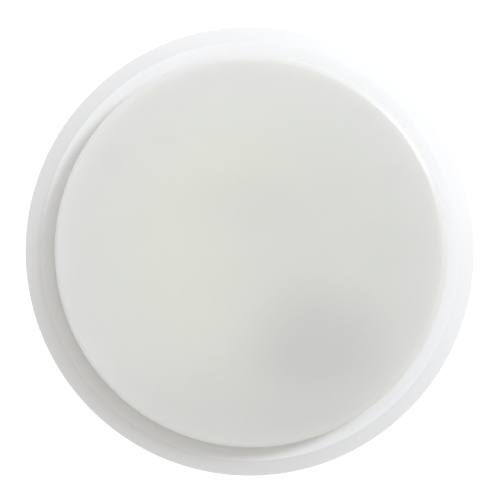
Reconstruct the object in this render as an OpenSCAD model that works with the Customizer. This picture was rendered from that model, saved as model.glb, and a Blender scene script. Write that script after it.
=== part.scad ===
// Low-profile ceiling heat detector with a press-to-test front disc.
// Millimetres. Origin at the centre of the ceiling face; +Z points out of the front disc.

/* [Housing] */
// Diameter of the housing
outer_d = 100; // [100:1:106]
// Height of the flat band round the front disc
flange_z = 25; // [25:0.5:28]
// Diameter of the front disc
disc_d = 86; // [85:0.5:87]
// Width of the bevel outside the flat band
bevel_w = 3.5; // [3:0.1:4]
// Drop of the bevel from the flat band to the side wall
bevel_drop = 2.9; // [2:0.1:4]

/* [Air slots] */
// Clear height of the air slots under the front disc
slot_h = 3.6; // [3:0.1:4]
// Number of ribs between the air slots
rib_count = 24; // [18:1:30]

/* [Motion] */
// Travel of the front disc when it is pressed
press_travel = 1; // [0.6:0.1:1.2]
// Turn from locked to free on the mounting plate, in degrees
twist_angle = 18; // [16:1:20]

/* [Ceiling fixing] */
// Distance between opposite fixing slots
fixing_spacing = 60; // [56:1:62]
// Width of a fixing slot
fixing_w = 4.6; // [4:0.1:5]
// Length of a fixing slot
fixing_l = 10; // [7:0.5:12]

/* [Hidden] */

$fn = 96;
eps = 0.01;      // overlap that keeps a cut clean
slip = 0.2;      // gap between pieces that move past each other
seat = 0.1;      // gap between pieces that meet face to face and move together

// Heights, from the ceiling outwards
plate_t = 1.8;
tongue_z = 4.4;
tongue_t = 1.4;
rear_z = 6.2;
rear_t = 1.6;
rear_top = rear_z + rear_t;
board_z = 15.2;
board_t = 1.6;
board_top = board_z + board_t;
floor_t = 1.6;
floor_z = flange_z - floor_t;
cage_base_t = 0.6;
deck_z = flange_z + cage_base_t + slot_h;
deck_t = 1.6;
deck_top = deck_z + deck_t;
spring_h = 3;
disc_under = deck_top + spring_h;
disc_t = 1.8;
disc_edge_z = disc_under + disc_t;
disc_dome = 0.4;
skirt_z = deck_z + 0.7;

// Radii
outer_r = outer_d / 2;
disc_r = disc_d / 2;
wall_t = 2.2;
wall_in_r = outer_r - wall_t;
plate_r = outer_r - 3.5;
plate_rim_t = 1.5;
rear_r = wall_in_r - 0.5;
crease_r = outer_r - bevel_w;
skirt_t = 1.4;
deck_r = disc_r - skirt_t - 0.4;
edge_round = 0.4;
board_r = 36.4;

// Twist-lock
lock_at = [45, 165, 285];
lock_half = 7;              // half the width of a hook or lug, in degrees
hook_in_r = 38;
hook_t = 1.6;
tongue_r = 42.4;
lug_in_r = 40;
lug_z = 2.3;
lug_t = 1.8;
lock_ring_in_r = 43;
lock_ring_out_r = 44.6;

// Places on the plan
housing_screw_r = 40;
housing_screw_at = [105, 225, 345];
board_screws_xy = [[30, 10], [-31, 9], [-20, -26]];
spring_r = 30;
spring_at = [7, 127, 247];
clip_r = 34.2;
clip_at = [27, 147, 267];
sounder_xy = [14.4, -19.2];
sounder_r = 12.3;
led_xy = [0, 11];
thermistor_r = 33.4;
thermistor_at = 195;
battery_y = 27;
battery_z = 15.5;
battery_r = 7.2;
battery_l = 49.2;
key_r = 11;
key_at = 200;

// ---------- shared shapes ----------

// Points of an arc in a profile, from angle a1 to a2
function arc(cx, cy, r, a1, a2, n = 8) =
    [for (i = [0:n]) let (a = a1 + (a2 - a1) * i / n) [cx + r * cos(a), cy + r * sin(a)]];

module tube(r1, r2, z1, z2) {
    difference() {
        translate([0, 0, z1]) cylinder(r = r2, h = z2 - z1);
        translate([0, 0, z1 - 1]) cylinder(r = r1, h = z2 - z1 + 2);
    }
}

// A piece of a ring, between two radii, two heights and two angles
module ring_part(r1, r2, z1, z2, a1, a2) {
    rotate(a1) rotate_extrude(angle = a2 - a1)
        translate([r1, z1]) square([r2 - r1, z2 - z1]);
}

module at_polar(r, a, z = 0) {
    translate([r * cos(a), r * sin(a), z]) children();
}

module rod(r, z1, z2) {
    translate([0, 0, z1]) cylinder(r = r, h = z2 - z1);
}

module block(size, z1, z2) {
    translate([-size[0] / 2, -size[1] / 2, z1]) cube([size[0], size[1], z2 - z1]);
}

// A straight slot along X with round ends, used as a cutter
module slot_cut(l, w, z1, z2) {
    block([l - w, w], z1, z2);
    for (s = [-1, 1]) translate([s * (l - w) / 2, 0, 0]) rod(w / 2, z1, z2);
}

// A pan-head screw with a cross recess. The head hangs below seat_z and the shank rises above it.
module pan_screw(head_r, head_h, shank_r, shank_l, seat_z) {
    difference() {
        union() {
            translate([0, 0, seat_z - head_h])
                rotate_extrude() polygon(concat(
                    [[0, 0]],
                    arc(head_r - head_h * 0.6, head_h * 0.6, head_h * 0.6, -90, 0, 5),
                    [[head_r, head_h], [0, head_h]]));
            rod(shank_r, seat_z - eps, seat_z + shank_l);
            translate([0, 0, seat_z + shank_l - eps])
                cylinder(r1 = shank_r, r2 = shank_r * 0.3, h = shank_r);
        }
        for (a = [0, 90]) rotate(a)
            block([head_r * 1.3, head_r * 0.28], seat_z - head_h - 1, seat_z - head_h * 0.35);
    }
}

// ---------- ceiling side ----------

module lock_hook() {
    ring_part(hook_in_r, hook_in_r + hook_t, plate_t - eps, tongue_z + tongue_t,
              -lock_half - 3.1, lock_half);
    ring_part(hook_in_r, tongue_r, tongue_z, tongue_z + tongue_t, -lock_half - 3.1, lock_half);
    // end stop that a lug meets when the housing is fully locked
    ring_part(hook_in_r, tongue_r, plate_t - eps, tongue_z + tongue_t,
              -lock_half - 3.1, -lock_half - 0.5);
}

module mounting_plate() {
    pad = 3.6;
    color("gainsboro") difference() {
        union() {
            rod(plate_r, 0, plate_t);
            tube(plate_r - plate_rim_t, plate_r, plate_t - eps, plate_t + 1.2);
            // raised pads round the fixing slots
            for (a = [0:90:270]) rotate(a) translate([fixing_spacing / 2, 0, 0])
                slot_cut(fixing_l + pad, fixing_w + pad, plate_t - eps, plate_t + 0.8);
            // stiffening web rings
            tube(16, 17.2, plate_t - eps, plate_t + 0.8);
            for (a = lock_at) rotate(a) lock_hook();
            // post that holds the activation key still while the housing turns
            at_polar(key_r, key_at) {
                rod(2.2, plate_t - eps, plate_t + 1.6);
                rod(1.3, plate_t - eps, rear_z - 0.8);
            }
        }
        for (a = [0:90:270]) rotate(a) translate([fixing_spacing / 2, 0, 0])
            slot_cut(fixing_l, fixing_w, -1, plate_t + 2);
        // shallow recess on the ceiling side, inside the rim
        tube(38, plate_r - plate_rim_t, -1, 0.5);
    }
}

// ---------- housing ----------

module rear_cover() {
    boss_h = 2.6;
    color("whitesmoke") difference() {
        union() {
            rod(rear_r, rear_z, rear_top);
            tube(rear_r - 1.1, rear_r, rear_top - eps, rear_top + 2);
            tube(lock_ring_in_r, lock_ring_out_r, rear_z - 3.6, rear_z + eps);
            for (a = lock_at)
                ring_part(lug_in_r, lock_ring_in_r + 0.2, lug_z, lug_z + lug_t,
                          a - lock_half, a + lock_half);
            for (a = housing_screw_at) at_polar(housing_screw_r, a) rod(4, rear_top - eps, rear_top + boss_h);
            // saddles that carry the battery
            for (x = [-16, 16]) translate([x, battery_y, 0]) block([2, 13.6], rear_top - eps, battery_z - 2);
        }
        for (a = housing_screw_at) at_polar(housing_screw_r, a) {
            rod(2.7, rear_z - 1, rear_z + 2.4);
            rod(1.5, rear_z - 1, rear_top + boss_h + 1);
        }
        translate([-battery_l / 2, battery_y, battery_z]) rotate([0, 90, 0])
            cylinder(r = battery_r + seat, h = battery_l);
        // curved slot that the activation key slides in
        ring_part(key_r - 0.85, key_r + 0.85, rear_z - 1, rear_top + 1,
                  key_at - twist_angle - 7, key_at + 7);
    }
}

function housing_profile() = concat(
    [[outer_r - 0.5, 0.8], [outer_r - 0.42, 3.4]],
    [[outer_r - 0.85, 3.5], [outer_r - 0.85, 3.9]],          // grip groove round the foot
    [[outer_r - 0.41, 4], [outer_r, flange_z - bevel_drop - 1.2]],
    arc(outer_r - 0.9, flange_z - bevel_drop - 1.2, 0.9, 0, 50, 5),
    [[crease_r + 0.15, flange_z - 0.04], [crease_r - 0.25, flange_z]],
    [[0, flange_z], [0, floor_z]],
    [[crease_r - 0.9, floor_z], [wall_in_r, floor_z - 2.2], [wall_in_r, 0.8]]);

module front_housing() {
    boss_z = rear_top + 2.6;
    color("white") difference() {
        union() {
            rotate_extrude() polygon(housing_profile());
            for (a = housing_screw_at) at_polar(housing_screw_r, a) rod(2.9, boss_z, floor_z + eps);
            for (p = board_screws_xy) translate(p) rod(2.6, board_top, floor_z + eps);
        }
        for (a = housing_screw_at) at_polar(housing_screw_r, a) rod(1.15, boss_z - 1, boss_z + 10);
        for (p = board_screws_xy) translate(p) rod(0.9, board_top - 1, floor_z - 0.6);
        for (a = spring_at) at_polar(spring_r, a) rod(1.3, floor_z - 1, flange_z + 1);
        rod(2.3, floor_z - 1, flange_z + 1);
        translate(led_xy) rod(2.2, floor_z - 1, flange_z + 1);
        translate(sounder_xy) rod(sounder_r + 0.4, floor_z - 1, flange_z + 1);
        at_polar(thermistor_r, thermistor_at) rod(3, floor_z - 1, flange_z + 1);
    }
}

module vent_cage() {
    rib_in_r = deck_r - 2.6;
    color("white") difference() {
        union() {
            tube(deck_r - 3, deck_r, flange_z, flange_z + cage_base_t);
            for (i = [0:rib_count - 1]) rotate(360 / rib_count * (i + 0.5))
                translate([rib_in_r, -0.8, flange_z + cage_base_t - eps])
                    cube([2.4, 1.6, slot_h + 2 * eps]);
            rod(deck_r, deck_z, deck_top);
            for (a = spring_at) at_polar(spring_r, a) {
                rod(2.4, flange_z, deck_z + eps);
                rod(1.2, floor_z - 0.5, flange_z + eps);
                rod(2, floor_z - 0.6, floor_z);       // heat-staked head
                rod(1.9, deck_top - eps, deck_top + 1);
            }
        }
        rod(3, deck_z - 1, deck_top + 1);
        translate(led_xy) rod(2.3, deck_z - 1, deck_top + 1);
        translate(sounder_xy) rod(sounder_r + 0.4, deck_z - 1, deck_top + 1);
        for (a = clip_at) rotate(a) translate([clip_r + 0.3, 0, 0]) block([3, 5.8], deck_z - 1, deck_top + 1);
    }
}

// ---------- front disc ----------

// Skirt, small outer radius, a narrow sloping land round the edge, then the shallow dome
function disc_profile() = let (
    land_r = disc_r - 1.35, slope = 10.5, lip_r = disc_r - edge_round,
    lip_z = disc_edge_z - (lip_r - land_r) * tan(slope)) concat(
    [[0, disc_under]],
    [[disc_r - skirt_t, disc_under], [disc_r - skirt_t, skirt_z]],
    [[disc_r - 0.3, skirt_z], [disc_r, skirt_z + 0.3]],
    arc(lip_r, lip_z - edge_round * cos(slope), edge_round, 0, 79.5, 5),
    [for (i = [9:-1:0]) let (u = i / 9) [land_r * u, disc_edge_z + disc_dome * (1 - u * u)]]);

module disc_clip() {
    leg_t = 1.4;
    translate([clip_r, -2.5, deck_z - 1.6]) cube([leg_t, 5, disc_under - deck_z + 1.6 + eps]);
    // barb under the deck
    translate([clip_r, 2.5, 0]) rotate([90, 0, 0]) linear_extrude(5) polygon([
        [0, deck_z - 1.6], [leg_t, deck_z - 1.6], [leg_t + 1.1, deck_z - slip - 0.4],
        [leg_t + 1.1, deck_z - slip], [0, deck_z - slip]]);
}

module front_disc() {
    color([0.86, 0.87, 0.84]) union() {
        rotate_extrude() polygon(disc_profile());
        for (a = clip_at) rotate(a) disc_clip();
        for (a = spring_at) at_polar(spring_r, a) rod(1.9, disc_under - 0.8, disc_under + eps);
        rod(2.4, switch_tip_z + seat, disc_under + eps);
        for (a = [0:60:300]) rotate(a + 37) translate([8, -0.5, disc_under - 0.5]) cube([20, 1, 0.5 + eps]);
    }
}

// Helix of a compression spring, swept as one closed tube
spring_wire_r = 0.25;
spring_coil_r = 2.6;
spring_turns = 4;
spring_steps = 18;
spring_sides = 6;

function spring_point(i, n) = let (
    t = i / n, a = 360 * spring_turns * t,
    z = deck_top + spring_wire_r + (spring_h - 2 * spring_wire_r) * t)
    [spring_coil_r * cos(a), spring_coil_r * sin(a), z, a];

module coil_spring() {
    n = spring_turns * spring_steps;
    m = spring_sides;
    points = [for (i = [0:n]) let (p = spring_point(i, n)) for (k = [0:m - 1])
        let (b = 360 * k / m, r = spring_coil_r + spring_wire_r * cos(b))
        [r * cos(p[3]), r * sin(p[3]), p[2] + spring_wire_r * sin(b)]];
    sides = [for (i = [0:n - 1]) for (k = [0:m - 1]) let (j = (k + 1) % m)
        [i * m + k, i * m + j, (i + 1) * m + j, (i + 1) * m + k]];
    ends = [[for (k = [m - 1:-1:0]) k], [for (k = [0:m - 1]) n * m + k]];
    polyhedron(points, concat(sides, ends));
}

module return_springs() {
    color("silver") for (a = spring_at) at_polar(spring_r, a) coil_spring();
}

// ---------- circuit board and its parts ----------

module circuit_board() {
    color("seagreen") difference() {
        rod(board_r, board_z, board_top);
        translate([-60, battery_y - battery_r - 1.2, board_z - 1]) cube([120, 60, board_t + 2]);
        for (p = board_screws_xy) translate(p) rod(1.2, board_z - 1, board_top + 1);
    }
}

chip_xy = [-14, 4];
chip_size = [10, 4];
module microcontroller() {
    color("dimgray") translate(chip_xy) difference() {
        block(chip_size, board_top + 0.15, board_top + 1.75);
        translate([-4, -1.2, 0]) rod(0.4, board_top + 1.6, board_top + 2);
    }
}

module chip_leads() {
    color("silver") for (i = [-3.5:1:3.5]) for (s = [-1, 1])
        translate(chip_xy + [i * 1.2, 0]) {
            translate([0, s * 2.25, 0]) block([0.42, 0.5], board_top + 0.7, board_top + 0.9);
            translate([0, s * 2.6, 0]) block([0.42, 0.2], board_top, board_top + 0.9);
            translate([0, s * 2.95, 0]) block([0.42, 0.5], board_top, board_top + 0.2);
        }
}

module capacitors() {
    color("midnightblue") for (p = [[21, 6], [-8, -16], [-15, -14]]) translate(p) difference() {
        union() {
            rod(2.5, board_top + 0.3, board_top + 5.6);
            rod(2.1, board_top, board_top + 0.4);
        }
        // vent score across the top
        for (a = [45, 135]) rotate(a) block([3.6, 0.25], board_top + 5.4, board_top + 6);
        tube(2.4, 3, board_top + 1, board_top + 1.4);
    }
}

module boost_inductor() {
    color("darkslategray") translate([12, 13]) difference() {
        rod(3.6, board_top, board_top + 5.6);
        tube(3, 4, board_top + 1, board_top + 4.6);
    }
}

resistor_xy = [[8, 4], [8, 1.6], [8, -0.8], [13, 5], [13, 2.6], [-5, 14], [-5, 11.6],
               [-22, -2], [-22, -4.4], [-22, -6.8], [-9, -6], [-9, -8.4]];
ceramic_xy = [[-22, 12], [-18, 12], [-14, 12], [-12, -1.5], [-18, -1.5], [24, -2], [24, 0.6], [3, -33], [-2, -30]];

module smd_resistors() {
    color("black") for (p = resistor_xy) translate(p) block([2, 1.25], board_top, board_top + 0.55);
}

module smd_capacitors() {
    color("tan") for (p = ceramic_xy) translate(p) block([2, 1.25], board_top, board_top + 0.9);
}

// ---------- test switch ----------

switch_h = 3.6;
switch_tip_z = 27.4 + flange_z - 25;

module test_switch_body() {
    color("black") difference() {
        block([6, 6], board_top, board_top + switch_h);
        rod(1.95, board_top + 1.5, board_top + switch_h + 1);
    }
}

module test_switch_plate() {
    z = board_top + switch_h;
    color("silver") difference() {
        union() {
            block([6, 6], z, z + 0.3);
            for (x = [-2.3, 2.3]) for (y = [-2.3, 2.3]) translate([x, y, 0]) rod(0.45, z + 0.3 - eps, z + 0.5);
        }
        rod(1.95, z - 1, z + 1);
    }
}

module test_switch_stem() {
    color("ivory") union() {
        rod(1.75, board_top + 1.5 + press_travel + 0.1, switch_tip_z - 0.3);
        translate([0, 0, switch_tip_z - 0.3 - eps]) cylinder(r1 = 1.75, r2 = 1.45, h = 0.3 + eps);
    }
}

// ---------- status light ----------

module status_led() {
    lens_r = 1.5;
    color("mistyrose") translate(led_xy) union() {
        rod(1.75, board_top + 0.8, board_top + 1.5);
        rod(lens_r, board_top + 0.8, board_top + 3.4);
        translate([0, 0, board_top + 3.4]) sphere(r = lens_r);
        for (x = [-0.8, 0.8]) translate([x, 0, 0]) block([0.45, 0.45], board_top, board_top + 0.9);
    }
}

module light_pipe() {
    tip_z = disc_under - press_travel - 0.6;
    color([0.92, 0.95, 0.96]) translate(led_xy) union() {
        rod(2, board_top + 5.4, tip_z - 0.6);
        rod(2.9, flange_z, flange_z + 0.9);
        translate([0, 0, tip_z - 0.6 - eps]) cylinder(r1 = 2, r2 = 1.4, h = 0.6 + eps);
    }
}

// ---------- thermistor ----------

bead_r = 1.3;
bead_z = deck_z - 2.4;
module thermistor_place() {
    at_polar(thermistor_r, thermistor_at) rotate(thermistor_at) children();
}

module thermistor_wires(r) {
    for (s = [-1, 1]) translate([0, s * 0.7, 0]) rod(r, board_top, bead_z);
}

module thermistor_bead() {
    color("saddlebrown") thermistor_place() difference() {
        union() {
            translate([0, 0, bead_z]) sphere(r = bead_r);
            rod(1.1, bead_z - 2.6, bead_z);
        }
        thermistor_wires(0.27);
    }
}

module thermistor_leads() {
    color("silver") thermistor_place() thermistor_wires(0.25);
}

module thermistor_guard() {
    color("white") thermistor_place() union() {
        tube(2.8, 4, flange_z, flange_z + 0.8);
        for (a = [60:120:300]) rotate(a) translate([3.4, 0, 0]) block([1, 1.4], flange_z, deck_z - slip);
    }
}

// ---------- sounder ----------

piezo_z = board_top + 1.8;
piezo_t = 0.3;
sounder_top = deck_z - 0.6;

module sounder_housing() {
    cup_in_r = sounder_r - 2;
    color([0.13, 0.13, 0.14]) translate(sounder_xy) difference() {
        union() {
            rod(sounder_r, board_top, sounder_top - 0.8);
            translate([0, 0, sounder_top - 0.8 - eps])
                cylinder(r1 = sounder_r, r2 = sounder_r - 0.8, h = 0.8 + eps);
        }
        rod(sounder_r - 0.5, board_top - 1, piezo_z + piezo_t);
        rod(cup_in_r, board_top, sounder_top - 1.4);
        rod(2.6, board_top, sounder_top + 1);
        for (a = [0:60:300]) rotate(a) translate([7, 0, 0]) rod(0.8, board_top, sounder_top + 1);
    }
}

module sounder_base() {
    color([0.2, 0.2, 0.21]) translate(sounder_xy) tube(9.6, sounder_r - 0.7, board_top, piezo_z);
}

module piezo_plate() {
    color("goldenrod") translate(sounder_xy) rod(sounder_r - 0.8, piezo_z, piezo_z + piezo_t);
}

module piezo_ceramic() {
    color("ivory") translate(sounder_xy) rod(7.6, piezo_z - piezo_t, piezo_z);
}

module sounder_contacts() {
    color("gold") translate(sounder_xy) {
        rod(0.5, board_top, piezo_z - piezo_t);
        translate([8.6, 0, 0]) rod(0.5, board_top, piezo_z);
    }
}

// ---------- battery ----------

module along_battery(x1, x2, r) {
    translate([x1, battery_y, battery_z]) rotate([0, 90, 0]) cylinder(r = r, h = x2 - x1);
}

cell_end = battery_l / 2;
nub_l = 1;
end_plate_t = 0.3;

module battery_cell() {
    color("royalblue") union() {
        along_battery(-cell_end + 0.5, cell_end - 0.5, battery_r);
        along_battery(-cell_end, cell_end, battery_r - 0.4);
    }
}

module battery_terminals() {
    color("silver") {
        along_battery(cell_end, cell_end + nub_l, 2.8);
        along_battery(-cell_end - end_plate_t, -cell_end, battery_r - 1.2);
    }
}

// Nickel strip from one end of the cell to the board. side is 1 at the positive end and -1 at the other.
module battery_tag(side, x) {
    t = 0.3;
    y_end = battery_y - battery_r - 5.2;
    mirror([side < 0 ? 1 : 0, 0, 0]) translate([x, 0, 0]) union() {
        translate([0, battery_y - 2.5, battery_z - 2.5]) cube([t, 5, 7]);
        translate([0, y_end, board_top]) cube([t, battery_y - y_end, 2.8]);
        translate([-3.6, y_end, board_top]) cube([3.6 + t, 3, t]);
    }
}

module battery_tags() {
    color("silver") {
        battery_tag(1, cell_end + nub_l);
        battery_tag(-1, cell_end + end_plate_t);
    }
}

module battery_pad() {
    color("dimgray") translate([0, battery_y, 0]) block([26, 8], rear_top, battery_z - battery_r);
}

// ---------- activation key and its switch ----------

module activation_key() {
    color("orangered") difference() {
        union() {
            ring_part(key_r - 2.8, key_r + 2.8, tongue_z, rear_z - slip, key_at - 15, key_at + 15);
            ring_part(key_r - 0.65, key_r + 0.65, rear_z - slip - 0.4, rear_top + slip + 0.6,
                      key_at - 5, key_at + 5);
            ring_part(key_r - 1.8, key_r + 1.8, rear_top + slip, rear_top + slip + 1.2,
                      key_at - 9, key_at + 9);
            for (s = [-1, 1])
                ring_part(key_r - 0.9, key_r + 0.9, rear_top + slip + 0.8, rear_top + slip + 3.2,
                          key_at + s * 6 - 2, key_at + s * 6 + 2);
        }
        at_polar(key_r, key_at) rod(1.5, tongue_z - 1, rear_z - 0.6);
    }
}

module power_switch() {
    z = board_z - 3.4;
    color("black") rotate(key_at - twist_angle / 2) translate([key_r, 0, 0]) difference() {
        block([4.6, 9], z, board_z);
        translate([-0.1, 0, 0]) block([2.2, 6.4], z - 1, z + 2.2);
    }
}

module power_switch_lever() {
    color("white") ring_part(key_r - 0.5, key_r + 0.5, rear_top + slip + 1.4, board_z - 1.6,
                             key_at - 3, key_at + 3);
}

// ---------- fasteners and label ----------

module housing_screws() {
    color("silver") for (a = housing_screw_at) at_polar(housing_screw_r, a)
        pan_screw(2.4, 1.8, 1.1, 9, rear_z + 2.4);
}

module board_screws() {
    color("silver") for (p = board_screws_xy) translate(p) pan_screw(2, 1.3, 0.85, 5.4, board_z);
}

module rating_label() {
    color("ghostwhite") translate([0, 24, 0]) block([40, 18], rear_z - 0.15, rear_z);
}

// ---------- assembly ----------

mounting_plate();
rear_cover();
front_housing();
vent_cage();
front_disc();
return_springs();
circuit_board();
microcontroller();
chip_leads();
capacitors();
boost_inductor();
smd_resistors();
smd_capacitors();
test_switch_body();
test_switch_plate();
test_switch_stem();
status_led();
light_pipe();
thermistor_bead();
thermistor_leads();
thermistor_guard();
sounder_housing();
sounder_base();
piezo_plate();
piezo_ceramic();
sounder_contacts();
battery_cell();
battery_terminals();
battery_tags();
battery_pad();
activation_key();
power_switch();
power_switch_lever();
housing_screws();
board_screws();
rating_label();
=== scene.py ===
"""Heat detector: materials, fine pieces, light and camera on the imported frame.

Metres, +Z out of the front disc, ceiling face at z = 0.
"""

import math

import bmesh
import bpy
from mathutils import Matrix, Vector


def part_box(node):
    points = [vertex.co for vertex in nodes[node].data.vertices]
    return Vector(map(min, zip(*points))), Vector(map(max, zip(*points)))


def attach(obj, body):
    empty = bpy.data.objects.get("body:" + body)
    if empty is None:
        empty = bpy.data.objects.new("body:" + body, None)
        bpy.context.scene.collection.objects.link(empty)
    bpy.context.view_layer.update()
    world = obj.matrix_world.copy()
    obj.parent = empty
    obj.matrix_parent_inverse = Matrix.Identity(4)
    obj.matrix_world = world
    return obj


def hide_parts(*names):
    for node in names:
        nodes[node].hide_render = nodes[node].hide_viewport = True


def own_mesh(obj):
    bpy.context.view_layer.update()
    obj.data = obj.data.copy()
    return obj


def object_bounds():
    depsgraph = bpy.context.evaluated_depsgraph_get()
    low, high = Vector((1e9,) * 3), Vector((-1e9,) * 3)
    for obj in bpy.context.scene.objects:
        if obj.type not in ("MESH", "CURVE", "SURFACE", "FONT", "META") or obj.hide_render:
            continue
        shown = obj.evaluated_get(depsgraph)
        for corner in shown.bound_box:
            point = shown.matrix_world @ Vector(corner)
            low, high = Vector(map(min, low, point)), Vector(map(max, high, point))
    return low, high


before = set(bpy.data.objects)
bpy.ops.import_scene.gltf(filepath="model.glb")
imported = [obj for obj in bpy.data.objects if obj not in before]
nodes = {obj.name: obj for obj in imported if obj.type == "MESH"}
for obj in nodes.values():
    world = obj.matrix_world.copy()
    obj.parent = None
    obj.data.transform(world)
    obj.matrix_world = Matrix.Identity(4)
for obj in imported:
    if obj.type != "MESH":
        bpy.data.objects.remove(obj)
cad_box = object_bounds()
MM = 0.001


# ---------- materials ----------

def node(tree, kind, **inputs):
    """A shader node with its named or numbered inputs set or linked."""
    n = tree.nodes.new(kind)
    for key, value in inputs.items():
        if hasattr(n, key) and not key.startswith("in_"):
            setattr(n, key, value)
            continue
        socket = n.inputs[int(key[3:])] if key[3:].isdigit() else n.inputs[key[3:].replace("_", " ")]
        if isinstance(value, bpy.types.NodeSocket):
            tree.links.new(value, socket)
        else:
            socket.default_value = value
    return n


def new_material(name, rough, **shader):
    """An empty principled material and the object-space position its textures read."""
    m = bpy.data.materials.new(name)
    m.use_nodes = True
    tree = m.node_tree
    tree.nodes.clear()
    out = tree.nodes.new("ShaderNodeOutputMaterial")
    bsdf = tree.nodes.new("ShaderNodeBsdfPrincipled")
    bsdf.inputs["Roughness"].default_value = rough
    for key, value in shader.items():
        bsdf.inputs[key.replace("_", " ")].default_value = value
    tree.links.new(bsdf.outputs[0], out.inputs[0])
    place = tree.nodes.new("ShaderNodeTexCoord").outputs["Object"]
    return m, tree, bsdf, place


def noise(tree, place, scale, detail=3.0, rough=0.5):
    """Soft random values between 0 and 1."""
    return node(tree, "ShaderNodeTexNoise", in_Vector=place, in_Scale=scale, in_Detail=detail,
                in_Roughness=rough).outputs["Fac"]


def span(tree, value, a, b, lo, hi, smooth=False):
    """value from a..b carried to lo..hi."""
    n = node(tree, "ShaderNodeMapRange", in_0=value, in_1=a, in_2=b, in_3=lo, in_4=hi)
    if smooth:
        n.interpolation_type = "SMOOTHSTEP"
    return n.outputs[0]


def blend(tree, factor, a, b):
    """Colour a where factor is 0, b where it is 1."""
    n = tree.nodes.new("ShaderNodeMix")
    n.data_type = "RGBA"
    for socket, value in zip((n.inputs[0], n.inputs[6], n.inputs[7]), (factor, a, b)):
        if isinstance(value, bpy.types.NodeSocket):
            tree.links.new(value, socket)
        else:
            socket.default_value = value if isinstance(value, float) else (*value[:3], 1.0)
    return n.outputs[2]


def bump(tree, height, distance, strength=1.0, under=None):
    """A normal raised by height, on top of the bump 'under' if there is one."""
    n = node(tree, "ShaderNodeBump", in_Strength=strength, in_Distance=distance, in_Height=height)
    if under is not None:
        tree.links.new(under, n.inputs["Normal"])
    return n.outputs[0]


def calc(tree, operation, *values):
    """One step of arithmetic."""
    inputs = {f"in_{i}": v for i, v in enumerate(values)}
    return node(tree, "ShaderNodeMath", operation=operation, **inputs).outputs[0]


def off_axis_distance(tree, place):
    """How far a point is from the Z axis."""
    flat = node(tree, "ShaderNodeVectorMath", operation="MULTIPLY", in_0=place, in_1=(1, 1, 0))
    return node(tree, "ShaderNodeVectorMath", operation="LENGTH", in_0=flat.outputs[0]).outputs["Value"]


def stretched(tree, place, scale):
    """The position with each axis scaled on its own, for lines and fibres."""
    return node(tree, "ShaderNodeMapping", in_Vector=place, in_Scale=scale).outputs[0]


def shade(color, k):
    """A colour made lighter or darker."""
    return tuple(min(1.0, c * k) for c in color[:3])


def pin_rings(tree, place, circle, count=6, size=2.4 * MM, line=0.16 * MM):
    """1 on the thin rings that ejector pins leave, evenly spaced on a circle round Z, on level faces only.
    The angle is folded into one sector, and the cosine rule gives the distance to that sector's pin."""
    spot = node(tree, "ShaderNodeSeparateXYZ", in_0=place)
    out = off_axis_distance(tree, place)
    fold = calc(tree, "PINGPONG", calc(tree, "ARCTAN2", spot.outputs[1], spot.outputs[0]), math.pi / count)
    along = calc(tree, "MULTIPLY", out, calc(tree, "COSINE", fold))
    rest = calc(tree, "MULTIPLY_ADD", along, -2 * circle, circle * circle)
    far = calc(tree, "SQRT", calc(tree, "MULTIPLY_ADD", out, out, rest))
    ring = calc(tree, "COMPARE", far, size, line)
    facing = node(tree, "ShaderNodeNewGeometry").outputs["Normal"]
    up = node(tree, "ShaderNodeSeparateXYZ", in_0=facing).outputs[2]
    return calc(tree, "MULTIPLY", ring, calc(tree, "GREATER_THAN", calc(tree, "ABSOLUTE", up), 0.97))


def moulded(name, color, rough=0.4, grain=1400, depth=0.012, wear=0.05, tone=0.03, flow=60,
            pins=None, **shader):
    """Injection-moulded plastic: faint flow tone, fine grain 'depth' mm deep, uneven gloss, scuffs, and
    ejector pin rings where 'pins' gives the radius of their circle."""
    m, tree, bsdf, place = new_material(name, rough, **shader)
    drift = span(tree, noise(tree, place, flow, 3), 0.3, 0.7, 0.0, 1.0)
    tint = blend(tree, drift, shade(color, 1 - tone), shade(color, 1 + tone))
    scuff = noise(tree, stretched(tree, place, (900, 140, 500)), 1.0, 5, 0.7)
    scuffs = span(tree, scuff, 0.62, 0.74, 0.0, 1.0)
    worn = blend(tree, span(tree, scuffs, 0, 1, 0, wear), tint, shade(color, 0.8))
    tree.links.new(worn, bsdf.inputs["Base Color"])
    fine = noise(tree, place, grain, 2, 0.6)
    uneven = span(tree, noise(tree, place, 230, 4), 0.3, 0.7, rough * 0.86, rough * 1.14)
    tree.links.new(calc(tree, "MULTIPLY_ADD", scuffs, wear, uneven), bsdf.inputs["Roughness"])
    waves = bump(tree, noise(tree, place, 110, 2), 0.06 * MM, 0.12)
    if pins:
        waves = bump(tree, pin_rings(tree, place, pins), 0.08 * MM, 0.8, waves)
    tree.links.new(bump(tree, fine, depth * MM, 0.5, waves), bsdf.inputs["Normal"])
    return m


def painted_light_ring(m, r1, r2, color):
    """Painted light: lighter plastic within r1 of the axis, fading out by r2, which lifts the shade beside the
    disc.
    """
    tree = m.node_tree
    base = next(n for n in tree.nodes if n.type == "BSDF_PRINCIPLED").inputs["Base Color"]
    out = off_axis_distance(tree, tree.nodes.new("ShaderNodeTexCoord").outputs["Object"])
    tree.links.new(blend(tree, span(tree, out, r1, r2, 1.0, 0.0, True), base.links[0].from_socket, color), base)


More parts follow.
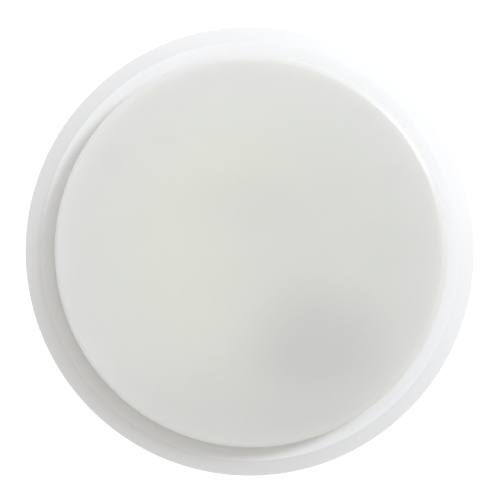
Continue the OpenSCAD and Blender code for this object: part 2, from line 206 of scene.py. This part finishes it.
def metal(name, color, rough=0.3, brush=(60, 60, 2600), tarnish=0.12, depth=0.006):
    """Plated or rolled metal: fine brushing along one way, patchy tarnish, uneven gloss."""
    m, tree, bsdf, place = new_material(name, rough, Metallic=1.0)
    lines = noise(tree, stretched(tree, place, brush), 1.0, 6, 0.65)
    cloud = span(tree, noise(tree, place, 420, 4), 0.35, 0.7, 0.0, 1.0)
    tint = blend(tree, cloud, color, shade(color, 1 - tarnish))
    brushed = blend(tree, span(tree, lines, 0.3, 0.7, 0, 0.25), tint, shade(color, 0.75))
    tree.links.new(brushed, bsdf.inputs["Base Color"])
    tree.links.new(span(tree, cloud, 0, 1, rough * 0.8, rough * 1.4), bsdf.inputs["Roughness"])
    tree.links.new(bump(tree, lines, depth * MM, 0.5), bsdf.inputs["Normal"])
    return m


def patch(tree, place, centre, size, amount, edge=1.1):
    """A soft oval spot on the plan: 'amount' inside, fading to 0 at 'edge' times the size."""
    local = node(tree, "ShaderNodeVectorMath", operation="SUBTRACT", in_0=place, in_1=(centre[0], centre[1], 0))
    flat = node(tree, "ShaderNodeVectorMath", operation="MULTIPLY", in_0=local.outputs[0],
                in_1=(1 / size[0], 1 / size[1], 0))
    far = node(tree, "ShaderNodeVectorMath", operation="LENGTH", in_0=flat.outputs[0]).outputs["Value"]
    return span(tree, far, 0.25, edge, amount, 0.0, True)


def total(tree, *values):
    """The sum of numbers and sockets."""
    out = values[0]
    for v in values[1:]:
        out = calc(tree, "ADD", out, v)
    return out


def opal():
    """Milky front disc. Painted shade: soft darker spots with wandering edges stand for the shadows of what
    stands close behind it, and a slant darkens it towards the lower right. Painted light lifts a band round the
    rim, for light that enters at the edge and through the side."""
    m, tree, bsdf, place = new_material("opal_satin", 0.32, Specular_IOR_Level=0.27, Subsurface_Weight=1.0,
                                        Subsurface_Scale=1.0, Subsurface_Radius=(0.0050, 0.0048, 0.0040),
                                        Coat_Weight=0.08, Coat_Roughness=0.2)
    swirl = node(tree, "ShaderNodeTexNoise", in_Vector=place, in_Scale=50, in_Detail=1)
    offset = node(tree, "ShaderNodeVectorMath", operation="SUBTRACT", in_0=swirl.outputs["Color"],
                  in_1=(0.5, 0.5, 0.5))
    pushed = node(tree, "ShaderNodeVectorMath", operation="MULTIPLY_ADD", in_0=offset.outputs[0],
                  in_1=(0.005, 0.005, 0.0), in_2=place).outputs[0]
    # Painted shade: the colour darkens steadily towards the lower right.
    painted_slant_shade = node(tree, "ShaderNodeVectorMath", operation="DOT_PRODUCT", in_0=place,
                 in_1=(1.05, -3.60, 0.0)).outputs["Value"]
    # Painted shade: soft darker spots for the shadows of the sounder and board parts seen through the milky
    # disc, and for shade along the lower edge and down the right side.
    painted_shadow_spots = (
        ((0.0138, -0.0192), (0.0190, 0.0143), 0.33),  # over the sounder
        ((-0.0028, 0.0107), (0.0169, 0.0101), 0.13),  # over the parts at the middle of the board
        ((-0.0020, -0.0416), (0.0485, 0.0267), 0.27),  # along the lower edge
        ((0.0180, -0.0057), (0.0332, 0.0500), 0.34),  # down the right side
    )
    painted_shade = total(tree, 0.212, painted_slant_shade, *[patch(tree, pushed, *spot) for spot in painted_shadow_spots])
    out = off_axis_distance(tree, place)
    # Painted light: the colour lightens and loses some yellow in a band round the rim, for light that enters at
    # the edge and through the side.
    rim = span(tree, out, 0.024, 0.0425, 0.0, 1.0, True)
    base = blend(tree, rim, (0.814, 0.826, 0.722), (0.832, 0.836, 0.768))
    # The narrow edge land is a little darker and greyer.
    base = blend(tree, span(tree, out, 0.0402, 0.0425, 0.0, 1.0, True), base, (0.800, 0.806, 0.780))
    # Painted shade: the spots and the slant darken the base colour.
    base = blend(tree, painted_shade, base, (0.612, 0.618, 0.594))
    clouded = blend(tree, span(tree, noise(tree, place, 130, 4), 0, 1, 0, 0.09), base, (0.64, 0.66, 0.60))
    tree.links.new(clouded, bsdf.inputs["Base Color"])
    tree.links.new(span(tree, noise(tree, place, 90, 2), 0.0, 1.0, 0.30, 0.35), bsdf.inputs["Roughness"])
    waves = bump(tree, noise(tree, place, 70, 2), 0.10 * MM, 0.10)
    tree.links.new(bump(tree, noise(tree, place, 2600, 2), 0.004 * MM, 0.4, waves), bsdf.inputs["Normal"])
    return m


def solder_mask():
    """Green board: runs of copper tracks under the mask, each cell with its own way or a solid pour, with
    gaps between cells, over a faint glass weave."""
    m, tree, bsdf, place = new_material("board_mask", 0.35, Specular_IOR_Level=0.5)
    green, copper = (0.012, 0.115, 0.045), (0.035, 0.20, 0.07)
    cells = node(tree, "ShaderNodeTexVoronoi", in_Vector=place, in_Scale=105, in_Randomness=0.8)
    cells.distance = "CHEBYCHEV"
    pick = node(tree, "ShaderNodeSeparateColor", in_0=cells.outputs["Color"]).outputs[0]
    lines = []
    for way in ("X", "Y"):
        wave = node(tree, "ShaderNodeTexWave", in_Vector=place, in_Scale=330, in_Distortion=0.0)
        wave.bands_direction = way
        lines.append(span(tree, wave.outputs["Fac"], 0.66, 0.74, 0.0, 1.0))
    along = node(tree, "ShaderNodeMix", in_0=span(tree, pick, 0.44, 0.46, 0.0, 1.0), in_2=lines[0],
                 in_3=lines[1]).outputs[0]
    poured = span(tree, pick, 0.80, 0.81, 0.0, 1.0)
    gap = span(tree, cells.outputs["Distance"], 0.46, 0.48, 1.0, 0.0)
    tracks = calc(tree, "MULTIPLY", calc(tree, "MAXIMUM", along, poured), gap)
    weave = noise(tree, stretched(tree, place, (2400, 2400, 200)), 1.0, 2)
    tint = blend(tree, tracks, green, copper)
    woven = blend(tree, span(tree, weave, 0.4, 0.6, 0, 0.25), tint, shade(green, 0.6))
    tree.links.new(woven, bsdf.inputs["Base Color"])
    tree.links.new(span(tree, noise(tree, place, 300, 3), 0.3, 0.7, 0.26, 0.42), bsdf.inputs["Roughness"])
    lift = bump(tree, tracks, 0.035 * MM, 0.6)
    tree.links.new(bump(tree, weave, 0.006 * MM, 0.3, lift), bsdf.inputs["Normal"])
    return m


def sleeve():
    """Shrink sleeve on the cell: plain, with a lighter band at one end and fine wrinkles."""
    m, tree, bsdf, place = new_material("cell_shrink", 0.28, Coat_Weight=0.3, Coat_Roughness=0.15)
    x = node(tree, "ShaderNodeSeparateXYZ", in_0=place).outputs[0]
    band_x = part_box("battery_cell")[1][0] - 12 * MM
    band = span(tree, x, band_x, band_x + 0.3 * MM, 0.0, 1.0)
    tint = blend(tree, band, (0.05, 0.13, 0.33), (0.55, 0.57, 0.58))
    wrinkle = noise(tree, stretched(tree, place, (250, 900, 900)), 1.0, 4)
    creased = blend(tree, span(tree, wrinkle, 0.4, 0.7, 0, 0.2), tint, (0.02, 0.05, 0.13))
    tree.links.new(creased, bsdf.inputs["Base Color"])
    tree.links.new(span(tree, wrinkle, 0.3, 0.7, 0.22, 0.36), bsdf.inputs["Roughness"])
    tree.links.new(bump(tree, wrinkle, 0.03 * MM, 0.4), bsdf.inputs["Normal"])
    return m


looks = {
    "housing": moulded("housing_gloss", (0.846, 0.850, 0.856), 0.22, 1900, 0.005, 0.02, 0.008, 40,
                       Coat_Weight=0.25, Coat_Roughness=0.08),
    "cover": moulded("cover_satin", (0.80, 0.80, 0.80), 0.42, 1500, 0.016, 0.05, 0.015, 50, 24 * MM),
    "plate": moulded("plate_satin", (0.76, 0.76, 0.755), 0.46, 1300, 0.022, 0.06, 0.02, 50, 19 * MM),
    "cage": moulded("cage_satin", (0.80, 0.805, 0.82), 0.38, 1600, 0.010, 0.03, 0.012, 60),
    "opal": opal(),
    "spring": metal("spring_wire", (0.62, 0.61, 0.58), 0.26, (900, 900, 900), 0.2),
    "screw": metal("zinc_plate", (0.66, 0.66, 0.63), 0.30, (500, 500, 4000), 0.18),
    "board": solder_mask(),
    "chip": moulded("chip_epoxy", (0.022, 0.022, 0.024), 0.52, 5200, 0.010, 0.10, 0.10, 300),
    "tin": metal("tinned", (0.74, 0.74, 0.71), 0.30, (700, 700, 700), 0.22, 0.012),
    "can": metal("can_drawn", (0.74, 0.74, 0.75), 0.26, (200, 200, 5200), 0.10),
    "ferrite": moulded("ferrite_grey", (0.05, 0.048, 0.045), 0.62, 3600, 0.030, 0.20, 0.12, 400),
    "resistor": moulded("resistor_glaze", (0.02, 0.02, 0.022), 0.30, 4200, 0.010, 0.10, 0.10, 700),
    "ceramic": moulded("ceramic_tan", (0.42, 0.28, 0.15), 0.48, 4200, 0.014, 0.10, 0.12, 900),
    "switch": moulded("switch_nylon", (0.03, 0.03, 0.032), 0.42, 3200, 0.014, 0.08, 0.06, 300),
    "stem": moulded("stem_acetal", (0.74, 0.72, 0.62), 0.36, 2600, 0.008, 0.06, 0.03, 200),
    "led": moulded("led_epoxy", (0.75, 0.42, 0.36), 0.16, 2200, 0.004, 0.02, 0.05, 500, Subsurface_Weight=0.4,
                   Subsurface_Scale=1.0, Subsurface_Radius=(0.0015, 0.0008, 0.0006)),
    "pipe": moulded("pipe_clear", (0.90, 0.93, 0.94), 0.10, 1500, 0.004, 0.02, 0.01, 200,
                    Transmission_Weight=0.75, IOR=1.49),
    "bead": moulded("bead_epoxy", (0.10, 0.032, 0.014), 0.20, 1800, 0.020, 0.05, 0.20, 700,
                    Coat_Weight=0.5, Coat_Roughness=0.08),
    "sounder": moulded("sounder_abs", (0.035, 0.035, 0.038), 0.44, 2400, 0.018, 0.08, 0.06, 150),
    "brass": metal("brass_sheet", (0.78, 0.56, 0.26), 0.28, (300, 3000, 300), 0.25),
    "piezo": moulded("piezo_silver", (0.72, 0.71, 0.67), 0.36, 3800, 0.010, 0.20, 0.05, 500, Metallic=0.5),
    "sleeve": sleeve(),
    "nickel": metal("nickel_strip", (0.70, 0.68, 0.63), 0.26, (2500, 300, 300), 0.15),
    "foam": moulded("foam_cell", (0.045, 0.045, 0.047), 0.92, 2600, 0.25, 0.0, 0.25, 1200),
    "key": moulded("key_acetal", (0.66, 0.12, 0.02), 0.36, 2200, 0.010, 0.06, 0.04, 200),
    "label": moulded("label_film", (0.80, 0.81, 0.81), 0.34, 3800, 0.004, 0.02, 0.01, 200),
}

# Painted light: a lighter ring in the housing's colour beside the disc lifts the shade there.
painted_light_ring(looks["housing"], 42.8 * MM, 45.6 * MM, (0.900, 0.895, 0.884))

paint = {
    "mounting_plate": "plate", "rear_cover": "cover", "front_housing": "housing", "vent_cage": "cage",
    "front_disc": "opal", "return_springs": "spring", "circuit_board": "board", "microcontroller": "chip",
    "chip_leads": "tin", "capacitors": "can", "boost_inductor": "ferrite", "smd_resistors": "resistor",
    "smd_capacitors": "ceramic", "test_switch_body": "switch", "test_switch_plate": "tin",
    "test_switch_stem": "stem", "status_led": "led", "light_pipe": "pipe", "thermistor_bead": "bead",
    "thermistor_leads": "tin", "thermistor_guard": "cage", "sounder_housing": "sounder",
    "sounder_base": "sounder", "piezo_plate": "brass", "piezo_ceramic": "piezo", "sounder_contacts": "brass",
    "battery_cell": "sleeve", "battery_terminals": "nickel", "battery_tags": "nickel", "battery_pad": "foam",
    "activation_key": "key", "power_switch": "switch", "power_switch_lever": "stem",
    "housing_screws": "screw", "board_screws": "screw", "rating_label": "label",
}
for name, look in paint.items():
    obj = nodes[name]
    obj.data.materials.clear()
    obj.data.materials.append(looks[look])


# ---------- mesh helpers ----------

def polar(r, degrees):
    """x and y of a point at a radius and an angle."""
    return r * math.cos(math.radians(degrees)), r * math.sin(math.radians(degrees))


def ring_points(cx, cy, r, steps):
    """Points evenly round a circle."""
    turns = [2 * math.pi * i / steps for i in range(steps)]
    return [(cx + r * math.cos(t), cy + r * math.sin(t)) for t in turns]


def close_tube(bm, loops):
    """Skins a row of loops that have the same number of points, and caps both ends."""
    for a, b in zip(loops, loops[1:]):
        for k in range(len(a)):
            j = (k + 1) % len(a)
            bm.faces.new((a[k], a[j], b[j], b[k]))
    bm.faces.new(loops[0][::-1])
    bm.faces.new(loops[-1])


def finish_mesh(name, bm, look, body, angle=35):
    """A visible piece from a bmesh: material, smooth shading with sharp edges past 'angle', body."""
    mesh = bpy.data.meshes.new(name)
    bmesh.ops.recalc_face_normals(bm, faces=bm.faces)
    bm.to_mesh(mesh)
    bm.free()
    mesh.materials.append(looks[look])
    mesh.polygons.foreach_set("use_smooth", [True] * len(mesh.polygons))
    mesh.set_sharp_from_angle(angle=math.radians(angle))
    obj = bpy.data.objects.new(name, mesh)
    bpy.context.scene.collection.objects.link(obj)
    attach(obj, body)
    return obj


def lathe(bm, profile, steps=256):
    """Turns a closed (r, z) outline in metres round Z. Points on the axis become one vertex."""
    rings = []
    for r, z in profile:
        plan = [(0, 0)] if r < 1e-9 else ring_points(0, 0, r, steps)
        rings.append([bm.verts.new((x, y, z)) for x, y in plan])
    for a, b in zip(rings, rings[1:] + rings[:1]):
        for i in range(steps):
            j = (i + 1) % steps
            corners = [a[i % len(a)], a[j % len(a)], b[j % len(b)], b[i % len(b)]]
            unique = list(dict.fromkeys(corners))
            if len(unique) > 2:
                bm.faces.new(unique)


def arc(cr, cz, r, a1, a2, n=8):
    """Points of an arc in a lathe outline, from angle a1 to a2 in degrees."""
    offsets = [polar(r, a1 + (a2 - a1) * i / n) for i in range(n + 1)]
    return [(cr + dr, cz + dz) for dr, dz in offsets]


def prism(bm, outline, z1, z2):
    """A closed upright prism on a plan outline."""
    close_tube(bm, [[bm.verts.new((x, y, z)) for x, y in outline] for z in (z1, z2)])


def post(bm, spot, r, z1, z2, steps=40):
    """An upright round post."""
    prism(bm, ring_points(*spot, r, steps), z1, z2)


def slab(bm, outline, half_w, angle):
    """A plate standing on edge: an (r, z) outline, half_w to each side, turned to an angle round Z."""
    c, s = polar(1, angle)
    close_tube(bm, [[bm.verts.new((r * c - w * s, r * s + w * c, z)) for r, z in outline]
                    for w in (-half_w, half_w)])


def solid(name, fill):
    """A loose object made by fill(bm), used in booleans."""
    bm = bmesh.new()
    fill(bm)
    bmesh.ops.recalc_face_normals(bm, faces=bm.faces)
    mesh = bpy.data.meshes.new(name)
    bm.to_mesh(mesh)
    bm.free()
    obj = bpy.data.objects.new(name, mesh)
    bpy.context.scene.collection.objects.link(obj)
    return obj


def combined(base, tools):
    """base with each (operation, solid) applied in turn, as a new bmesh. The inputs are deleted."""
    for operation, tool in tools:
        mod = base.modifiers.new("cut", "BOOLEAN")
        mod.operation, mod.object, mod.solver = operation, tool, "EXACT"
    ready = base.evaluated_get(bpy.context.evaluated_depsgraph_get())
    bm = bmesh.new()
    bm.from_mesh(ready.to_mesh())
    for o in [base] + [tool for _, tool in tools]:
        bpy.data.objects.remove(o)
    return bm


# ---------- front disc ----------

disc_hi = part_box("front_disc")[1]
cage_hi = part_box("vent_cage")[1]
disc_r, disc_top = max(disc_hi.x, disc_hi.y), disc_hi.z
under = disc_top - 2.2 * MM
seat_top = cage_hi.z - 1 * MM
deck_z = seat_top - 1.6 * MM
stem_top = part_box("test_switch_stem")[1].z
spring_spots = [polar(30 * MM, a) for a in (7, 127, 247)]
clip_angles = (27, 147, 267)


def disc_outline():
    """Dome, then a narrow land that turns down from 1 to 36 degrees, a small outer radius and the skirt."""
    in_r, skirt_z = disc_r - 1.4 * MM, deck_z + 0.7 * MM
    land, edge, steepest = disc_r - 1.66 * MM, 0.46 * MM, 36
    fillet, inner_lip, outer_lip = 0.4 * MM, 0.2 * MM, 0.35 * MM
    rise, steps = 0.4 * MM, 24
    r, z, roll = land, disc_top - rise, []
    step = (disc_r - edge * (1 - math.sin(math.radians(steepest))) - land) / steps
    for i in range(steps):
        t = (i + 0.5) / steps
        # The slope in degrees rises fast, stays near 10 across most of the land, then rolls over the edge.
        slope = 1.1 + 32 * t if t < 0.2 else 7.5 + 9 * (t - 0.2) if t < 0.65 else 11.55 + 70 * (t - 0.65)
        roll.append((r, z))
        r, z = r + step, z - step * math.tan(math.radians(slope))
    dome = [(land * i / steps, disc_top - rise * (i / steps) ** 2) for i in range(steps - 1, -1, -1)]
    return ([(0, under), (in_r - fillet, under)] + arc(in_r - fillet, under - fillet, fillet, 90, 0, 5)
            + arc(in_r + inner_lip, skirt_z + inner_lip, inner_lip, 180, 270, 4)
            + arc(disc_r - outer_lip, skirt_z + outer_lip, outer_lip, 270, 360, 5)
            + arc(disc_r - edge, z - edge * math.cos(math.radians(steepest)), edge, 0, 90 - steepest, 8)
            + roll[::-1] + dome)


def disc_fittings(bm):
    """Barbed clips, spring pegs, the post over the switch stem and low ribs. All start inside the disc."""
    root = under + 0.3 * MM
    leg_in, leg_out, foot = 34.2 * MM, 35.6 * MM, deck_z - 1.6 * MM
    chamfer, flare, catch = 0.3 * MM, 0.5 * MM, deck_z - 0.2 * MM
    barb = leg_out + 1.1 * MM
    leg = [(leg_in, root), (leg_in, foot + chamfer), (leg_in + chamfer, foot), (leg_out, foot),
           (barb, catch - 0.5 * MM), (barb, catch), (leg_out, catch),
           (leg_out, under - flare), (leg_out + flare, under), (leg_out + flare, root)]
    for a in clip_angles:
        slab(bm, leg, 2.5 * MM, a)
    for spot in spring_spots:
        post(bm, spot, 1.9 * MM, under - 0.8 * MM, root)
    post(bm, (0, 0), 2.4 * MM, stem_top + 0.1 * MM, root, 56)
    rib_in, rib_out, rib_z = 8 * MM, 28 * MM, under - 0.5 * MM
    rib = [(rib_in, root), (rib_in, rib_z + chamfer), (rib_in + chamfer, rib_z),
           (rib_out - chamfer, rib_z), (rib_out, rib_z + chamfer), (rib_out, root)]
    for k in range(6):
        slab(bm, rib, 0.5 * MM, 37 + 60 * k)


disc_mesh = bmesh.new()
lathe(disc_mesh, disc_outline(), 320)
disc_fittings(disc_mesh)
front_disc = finish_mesh("front_disc_opal", disc_mesh, "opal", "front", 40)
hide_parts("front_disc")


# ---------- housing ----------

house_lo, house_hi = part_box("front_housing")
outer_r, flange_z = max(house_hi.x, house_hi.y), house_hi.z
floor_z, wall_r = flange_z - 1.6 * MM, outer_r - 2.2 * MM
board_lo, board_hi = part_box("circuit_board")
board_top = board_hi.z
screw_spots = [polar(40 * MM, a) for a in (105, 225, 345)]
board_screw_spots = [(30 * MM, 10 * MM), (-31 * MM, 9 * MM), (-20 * MM, -26 * MM)]


def centre(name):
    """The middle of a node's box, seen from the front."""
    lo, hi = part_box(name)
    return (lo.x + hi.x) / 2, (lo.y + hi.y) / 2


def housing_outline():
    """Foot, grip groove, drafted side, bevel, a crisp crease and the flat band, then back inside."""
    crease = outer_r - 3.5 * MM
    foot, side = house_lo.z, flange_z - 4.1 * MM
    foot_r, foot_round, shoulder, crease_round = outer_r - 0.8 * MM, 0.3 * MM, 0.9 * MM, 0.16 * MM
    groove = [(outer_r - inset * MM, z * MM) for inset, z in
              ((0.42, 3.4), (0.78, 3.47), (0.85, 3.54), (0.85, 3.86), (0.78, 3.93), (0.41, 4.0))]
    return ([(wall_r + 0.2 * MM, foot), (foot_r, foot)]
            + arc(foot_r, foot + foot_round, foot_round, -90, 0, 5) + groove
            + arc(outer_r - shoulder, side, shoulder, 0, 43, 8)
            + arc(crease - 0.05 * MM, flange_z - crease_round, crease_round, 46, 90, 5)
            + [(0, flange_z), (0, floor_z), (crease - 0.9 * MM, floor_z), (wall_r, floor_z - 2.2 * MM),
               (wall_r, foot + 0.2 * MM)])


def housing_bosses(bm):
    """Screw posts for the rear cover and the board, let into the front wall."""
    root = floor_z + 0.3 * MM
    for spot in screw_spots:
        post(bm, spot, 2.9 * MM, 10.4 * MM, root)
    for spot in board_screw_spots:
        post(bm, spot, 2.6 * MM, board_top, root)


def housing_holes(bm):
    """Windows in the front wall for the switch, light, sounder, sensor and pegs, and the screws' pilots."""
    deep, high = floor_z - 1 * MM, flange_z + 1 * MM
    windows = [((0, 0), 2.3, 40), (centre("status_led"), 2.2, 40), (centre("sounder_housing"), 12.7, 96),
               (centre("thermistor_bead"), 3.0, 40)]
    for spot, r, steps in windows + [(spot, 1.3, 40) for spot in spring_spots]:
        post(bm, spot, r * MM, deep, high, steps)
    for spot in screw_spots:
        post(bm, spot, 1.15 * MM, 9 * MM, 20.4 * MM)
    for spot in board_screw_spots:
        post(bm, spot, 0.9 * MM, board_top - 1 * MM, floor_z - 0.6 * MM)


shell = combined(solid("housing_blank", lambda bm: lathe(bm, housing_outline(), 320)),
                 [("UNION", solid("bosses", housing_bosses)), ("DIFFERENCE", solid("holes", housing_holes))])
housing = finish_mesh("front_housing_shell", shell, "housing", "alarm", 38)
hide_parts("front_housing")


# ---------- springs, threads and solder ----------

def sweep(bm, path, wire, ring=10):
    """A round wire along a list of points, closed at both ends."""
    loops = []
    section = ring_points(0, 0, wire, ring)
    for i, p in enumerate(path):
        ahead = (path[min(i + 1, len(path) - 1)] - path[max(i - 1, 0)]).normalized()
        side = ahead.cross(Vector((0, 0, 1))).normalized()
        over = side.cross(ahead)
        loops.append([bm.verts.new(p + side * u + over * v) for u, v in section])
    close_tube(bm, loops)


def ease(t):
    """0 to 1 with a soft start and end."""
    t = min(1, max(0, t))
    return t * t * (3 - 2 * t)


def spring_path(cx, cy, z1, z2, r, wire, turns=4, steps=44):
    """Closed end turns that touch, open ones between them, filling z1 to z2."""
    count, end_turn, easing = turns * steps, 0.7, 0.4
    open_part = []
    for i in range(count):
        t = (i + 0.5) / steps
        open_part.append(ease((t - end_turn) / easing) * ease((turns - end_turn - t) / easing))
    closed = 2.03 * wire / steps
    extra = (z2 - z1 - 2 * wire - closed * count) / sum(open_part)
    z, path = z1 + wire, []
    for i in range(count + 1):
        t = 2 * math.pi * i / steps
        path.append(Vector((cx + r * math.cos(t), cy + r * math.sin(t), z)))
        if i < count:
            z += closed + extra * open_part[i]
    return path


coils, wire_r = bmesh.new(), 0.25 * MM
for x, y in spring_spots:
    sweep(coils, spring_path(x, y, seat_top, under, 2.6 * MM, wire_r), wire_r)
springs = finish_mesh("return_spring_coils", coils, "spring", "alarm", 50)
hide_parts("return_springs")
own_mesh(springs)


def thread(bm, cx, cy, z1, z2, root, crest, pitch, steps=40):
    """A raised helical thread, its root sunk in the shank, that fades in and out over one turn."""
    count = round((z2 - z1) / pitch * steps)
    sunk = root - 0.1 * MM
    loops = []
    for i in range(count + 1):
        t, z = 2 * math.pi * i / steps, z1 + (z2 - z1) * i / count
        fade = min(1, i / steps, (count - i) / steps)
        high = root + (crest - root) * fade + 0.01 * MM
        section = ((sunk, -0.30), (root, -0.26), (high, -0.03), (high, 0.03), (root, 0.26), (sunk, 0.30))
        loops.append([bm.verts.new((cx + r * math.cos(t), cy + r * math.sin(t), z + dz * pitch))
                      for r, dz in section])
    close_tube(bm, loops)


threads = bmesh.new()
seat_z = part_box("housing_screws")[0].z + 1.8 * MM
for x, y in screw_spots:
    thread(threads, x, y, seat_z + 2.2 * MM, seat_z + 9 * MM, 1.1 * MM, 1.42 * MM, 0.9 * MM)
for x, y in board_screw_spots:
    thread(threads, x, y, board_lo.z + 1.9 * MM, board_lo.z + 5.2 * MM, 0.85 * MM, 1.08 * MM, 0.6 * MM)
finish_mesh("screw_threads", threads, "screw", "alarm", 40)


def joint_cone(bm, cx, cy, z, r, high, lead=0.25 * MM):
    """A hollow-sided solder joint round a pin, let slightly into the board."""
    sunk, pad = -0.02 * MM, 0.04 * MM
    flank = [(lead + (r - lead) * (1 - t) ** 2.2, pad + high * t) for t in (0.15, 0.35, 0.6, 0.8, 1.0)]
    outline = [(0, sunk), (r, sunk), (r, pad)] + flank + [(0, high + 0.06 * MM)]
    part = bmesh.new()
    lathe(part, outline, 28)
    bmesh.ops.translate(part, verts=part.verts, vec=(cx, cy, z))
    scrap = bpy.data.meshes.new("scrap")
    part.to_mesh(scrap)
    part.free()
    bm.from_mesh(scrap)
    bpy.data.meshes.remove(scrap)


def end_caps(bm, cx, cy, z, high):
    """Tinned ends of a 2 x 1.25 mm chip part 'high' mm tall, with the solder that holds each to the board."""
    inner, face, toe, half_width, top = 0.72, 1.03, 1.40, 0.655, high + 0.03
    side = [(inner, 0), (toe, 0), (1.26, 0.06), (1.12, 0.2), (face, 0.42 * high), (face, top), (inner, top)]
    for s in (-1, 1):
        close_tube(bm, [[bm.verts.new((cx + s * a * MM, cy + w * half_width * MM, z + b * MM))
                         for a, b in side] for w in (-1, 1)])


# Plan positions in mm, as on the board in the CAD model.
resistor_at = [(8, 4), (8, 1.6), (8, -0.8), (13, 5), (13, 2.6), (-5, 14), (-5, 11.6),
               (-22, -2), (-22, -4.4), (-22, -6.8), (-9, -6), (-9, -8.4)]
ceramic_at = [(-22, 12), (-18, 12), (-14, 12), (-12, -1.5), (-18, -1.5), (24, -2), (24, 0.6),
              (3, -33), (-2, -30)]
test_pad_at = [(18, -2), (20, -4.5), (17.5, -5.5), (-27, 3), (-27, 0.5), (-25, -12), (2, 7), (4, 9),
               (-2, 4.5), (26, 6)]
chip_at, chip_pitch, chip_row = (-14, 4), 1.2, 3.05
solder = bmesh.new()
for x, y in resistor_at:
    end_caps(solder, x * MM, y * MM, board_top, 0.55)
for x, y in ceramic_at:
    end_caps(solder, x * MM, y * MM, board_top, 0.9)
led_x, led_y = centre("status_led")
bead_x, bead_y = centre("thermistor_bead")
across = Vector((-bead_y, bead_x, 0)).normalized() * 0.7 * MM
pins = [(led_x - 0.8 * MM, led_y), (led_x + 0.8 * MM, led_y),
        (bead_x + across.x, bead_y + across.y), (bead_x - across.x, bead_y - across.y)]
for x, y in pins:
    joint_cone(solder, x, y, board_top, 0.75 * MM, 0.6 * MM)
for i in range(8):
    for s in (-1, 1):
        x, y = (chip_at[0] + (i - 3.5) * chip_pitch) * MM, (chip_at[1] + s * chip_row) * MM
        joint_cone(solder, x, y, board_top, 0.34 * MM, 0.24 * MM, 0.1 * MM)
for x, y in test_pad_at:
    joint_cone(solder, x * MM, y * MM, board_top, 0.8 * MM, 0.10 * MM, 0.3 * MM)
finish_mesh("solder_joints", solder, "tin", "alarm", 30)


# ---------- stage, light, camera ----------

WARM, COOL, NEUTRAL = (1.025, 1.0, 0.950), (0.94, 0.99, 1.12), (1, 1, 1)
FLOOR_GLOW = 0.90


def floor():
    """A pale floor just under the object, wide enough to fill low views. It glows a little, so that it
    reads white."""
    mesh = bpy.data.meshes.new("floor")
    half = 80.0
    corners = [(-half, -half, 0), (half, -half, 0), (half, half, 0), (-half, half, 0)]
    mesh.from_pydata(corners, [], [(0, 1, 2, 3)])
    obj = bpy.data.objects.new("floor", mesh)
    bpy.context.scene.collection.objects.link(obj)
    m, tree, bsdf, place = new_material("floor_paper", 0.9, Specular_IOR_Level=0.0)
    tone = span(tree, noise(tree, place, 3, 2), 0.3, 0.7, 0.0, 1.0)
    tree.links.new(blend(tree, tone, (0.30, 0.30, 0.30), (0.32, 0.32, 0.32)), bsdf.inputs["Base Color"])
    bsdf.inputs["Emission Color"].default_value = (1, 1, 1, 1)
    bsdf.inputs["Emission Strength"].default_value = FLOOR_GLOW
    mesh.materials.append(m)
    obj.location.z = cad_box[0][2] - 0.0002


def area(name, azimuth, off_axis, distance, size, power, color=NEUTRAL):
    """A soft round lamp aimed at the origin, 'off_axis' degrees away from straight in front."""
    light = bpy.data.lights.new(name, "AREA")
    light.shape = "DISK"
    light.size = size
    light.energy = power
    light.color = color
    obj = bpy.data.objects.new(name, light)
    a, t = math.radians(azimuth), math.radians(off_axis)
    obj.location = Vector((math.sin(t) * math.cos(a), math.sin(t) * math.sin(a), math.cos(t))) * distance
    obj.rotation_euler = (-obj.location).to_track_quat("-Z", "Y").to_euler()
    bpy.context.scene.collection.objects.link(obj)


def sky(ambient, lobes):
    """A plain bright room: even light, with wide soft sources at (azimuth, elevation, strength, tint)."""
    world = bpy.data.worlds.new("studio")
    bpy.context.scene.world = world
    world.use_nodes = True
    tree = world.node_tree
    tree.nodes.clear()
    out = tree.nodes.new("ShaderNodeOutputWorld")
    back = tree.nodes.new("ShaderNodeBackground")
    narrowness = 4.0
    place = tree.nodes.new("ShaderNodeTexCoord").outputs["Generated"]
    level = tuple(ambient * c for c in WARM)
    for azimuth, elevation, gain, tint in lobes:
        a, e = math.radians(azimuth), math.radians(elevation)
        toward = (math.cos(e) * math.cos(a), math.cos(e) * math.sin(a), math.sin(e))
        along = node(tree, "ShaderNodeVectorMath", operation="DOT_PRODUCT", in_0=place,
                     in_1=toward).outputs["Value"]
        soft = calc(tree, "POWER", calc(tree, "MAXIMUM", along, 0.0), narrowness)
        level = node(tree, "ShaderNodeVectorMath", operation="MULTIPLY_ADD", in_0=soft,
                     in_1=tuple(gain * c for c in tint), in_2=level).outputs[0]
    tree.links.new(level, back.inputs[0])
    tree.links.new(back.outputs[0], out.inputs[0])


floor()
sky(0.012, [(0, 90, 1.40, WARM), (60, 35, 0.86, NEUTRAL), (180, 35, 0.26, WARM), (300, 35, 0.18, WARM)])
area("key", 36, 25, 1.2, 0.21, 4.15, COOL)
area("window", 28, 54, 1.0, 0.32, 0.54)

camera_data = bpy.data.cameras.new("camera")
camera = bpy.data.objects.new("camera", camera_data)
bpy.context.scene.collection.objects.link(camera)
bpy.context.scene.camera = camera
# The camera stands almost straight in front, a little to the lower left.
aim = Vector((-0.07 * MM, 0.25 * MM, 21.8 * MM))
tilt = Vector((-math.tan(math.radians(1.45)), -math.tan(math.radians(0.80)), 1.0))
distance, width_in_frame = 0.720, 0.1113
camera.location = aim + tilt * distance
camera_data.sensor_width = 36
camera_data.lens = camera_data.sensor_width * distance * tilt.length / width_in_frame
forward = (aim - camera.location).normalized()
right = forward.cross(Vector((0, 1, 0))).normalized()
up = right.cross(forward)
camera.rotation_euler = Matrix((right, up, -forward)).transposed().to_euler()
camera_data.clip_start = 0.01
camera_data.clip_end = 200
camera_data.dof.use_dof = False

scene = bpy.context.scene
scene.view_settings.view_transform = "Standard"
scene.view_settings.look = "None"
scene.view_settings.exposure = 0
scene.view_settings.gamma = 1
